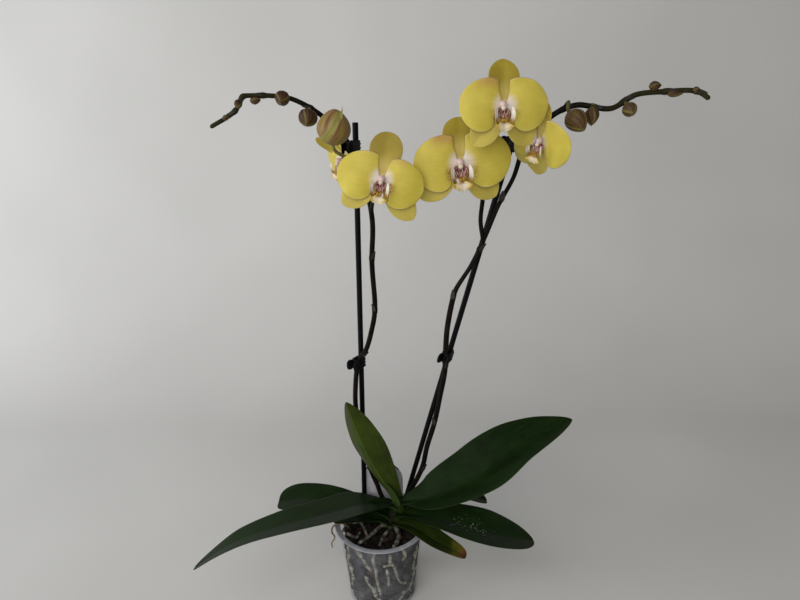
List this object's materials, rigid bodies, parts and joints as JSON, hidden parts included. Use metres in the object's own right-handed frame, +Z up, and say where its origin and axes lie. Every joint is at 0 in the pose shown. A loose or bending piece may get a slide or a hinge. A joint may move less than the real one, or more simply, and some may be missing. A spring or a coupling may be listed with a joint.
{
  "type": "potted orchid",
  "caption": "Potted moth orchid: clear tapered pot of bark, long arching leaves, and dark flower spikes on stakes with open yellow flowers and closed buds.",
  "frame": {"origin": "centre of the pot's underside, where it rests", "axes": "+Z up the plant, -Y towards the side the flowers face, +X to the right seen from that side"},
  "size_m": [0.5503, 0.1616, 0.6604],
  "materials": {
    "clear_plastic": "clear, slightly hazy moulded plastic",
    "bark": "rough dark bark chips",
    "crown": "smooth green leaf bases",
    "leaf": "waxy dark green, soft sheen",
    "faded_leaf": "ageing leaf, yellow-green to brown",
    "stem": "smooth dark green-purple stem",
    "stake": "black coated rod",
    "clip": "black moulded plastic",
    "label": "matt grey, bare",
    "root": "silver-grey to olive, matt",
    "dry_root": "dry, papery brown",
    "petal": "fine-veined yellow petal, soft sheen",
    "sepal": "olive-yellow sepal",
    "lip": "white and yellow with red-brown bars",
    "bud": "smooth bud skin, olive to maroon"
  },
  "bodies": {
    "root": {"bark_medium": "bark", "bud_left_1": "bud", "bud_left_2": "bud", "bud_left_3": "bud", "bud_right_1": "bud", "bud_right_2": "bud", "bud_right_3": "bud", "clip_left_low": "clip", "clip_left_top": "clip", "clip_right_low": "clip", "clip_right_top": "clip", "crown": "crown", "flower_left_lip": "lip", "flower_left_petal_left": "petal", "flower_left_petal_right": "petal", "flower_left_sepal_dorsal": "sepal", "flower_left_sepal_left": "sepal", "flower_left_sepal_right": "sepal", "flower_middle_lip": "lip", "flower_middle_petal_left": "petal", "flower_middle_petal_right": "petal", "flower_middle_sepal_dorsal": "sepal", "flower_middle_sepal_left": "sepal", "flower_middle_sepal_right": "sepal", "flower_rear_lip": "lip", "flower_rear_petal_left": "petal", "flower_rear_petal_right": "petal", "flower_rear_sepal_dorsal": "sepal", "flower_rear_sepal_left": "sepal", "flower_rear_sepal_right": "sepal", "flower_right_lip": "lip", "flower_right_petal_left": "petal", "flower_right_petal_right": "petal", "flower_right_sepal_dorsal": "sepal", "flower_right_sepal_left": "sepal", "flower_right_sepal_right": "sepal", "flower_top_lip": "lip", "flower_top_petal_left": "petal", "flower_top_petal_right": "petal", "flower_top_sepal_dorsal": "sepal", "flower_top_sepal_left": "sepal", "flower_top_sepal_right": "sepal", "leaf_centre": "leaf", "leaf_front_low": "faded_leaf", "leaf_left": "leaf", "leaf_left_back": "leaf", "leaf_left_low": "faded_leaf", "leaf_right": "leaf", "leaf_right_back": "leaf", "leaf_right_low": "leaf", "plant_label": "label", "pot": "clear_plastic", "root_dry": "dry_root", "root_left": "root", "root_middle": "root", "root_right": "root", "spike_left": "stem", "spike_right": "stem", "stake_left": "stake", "stake_right": "stake"}
  },
  "joints": []
}
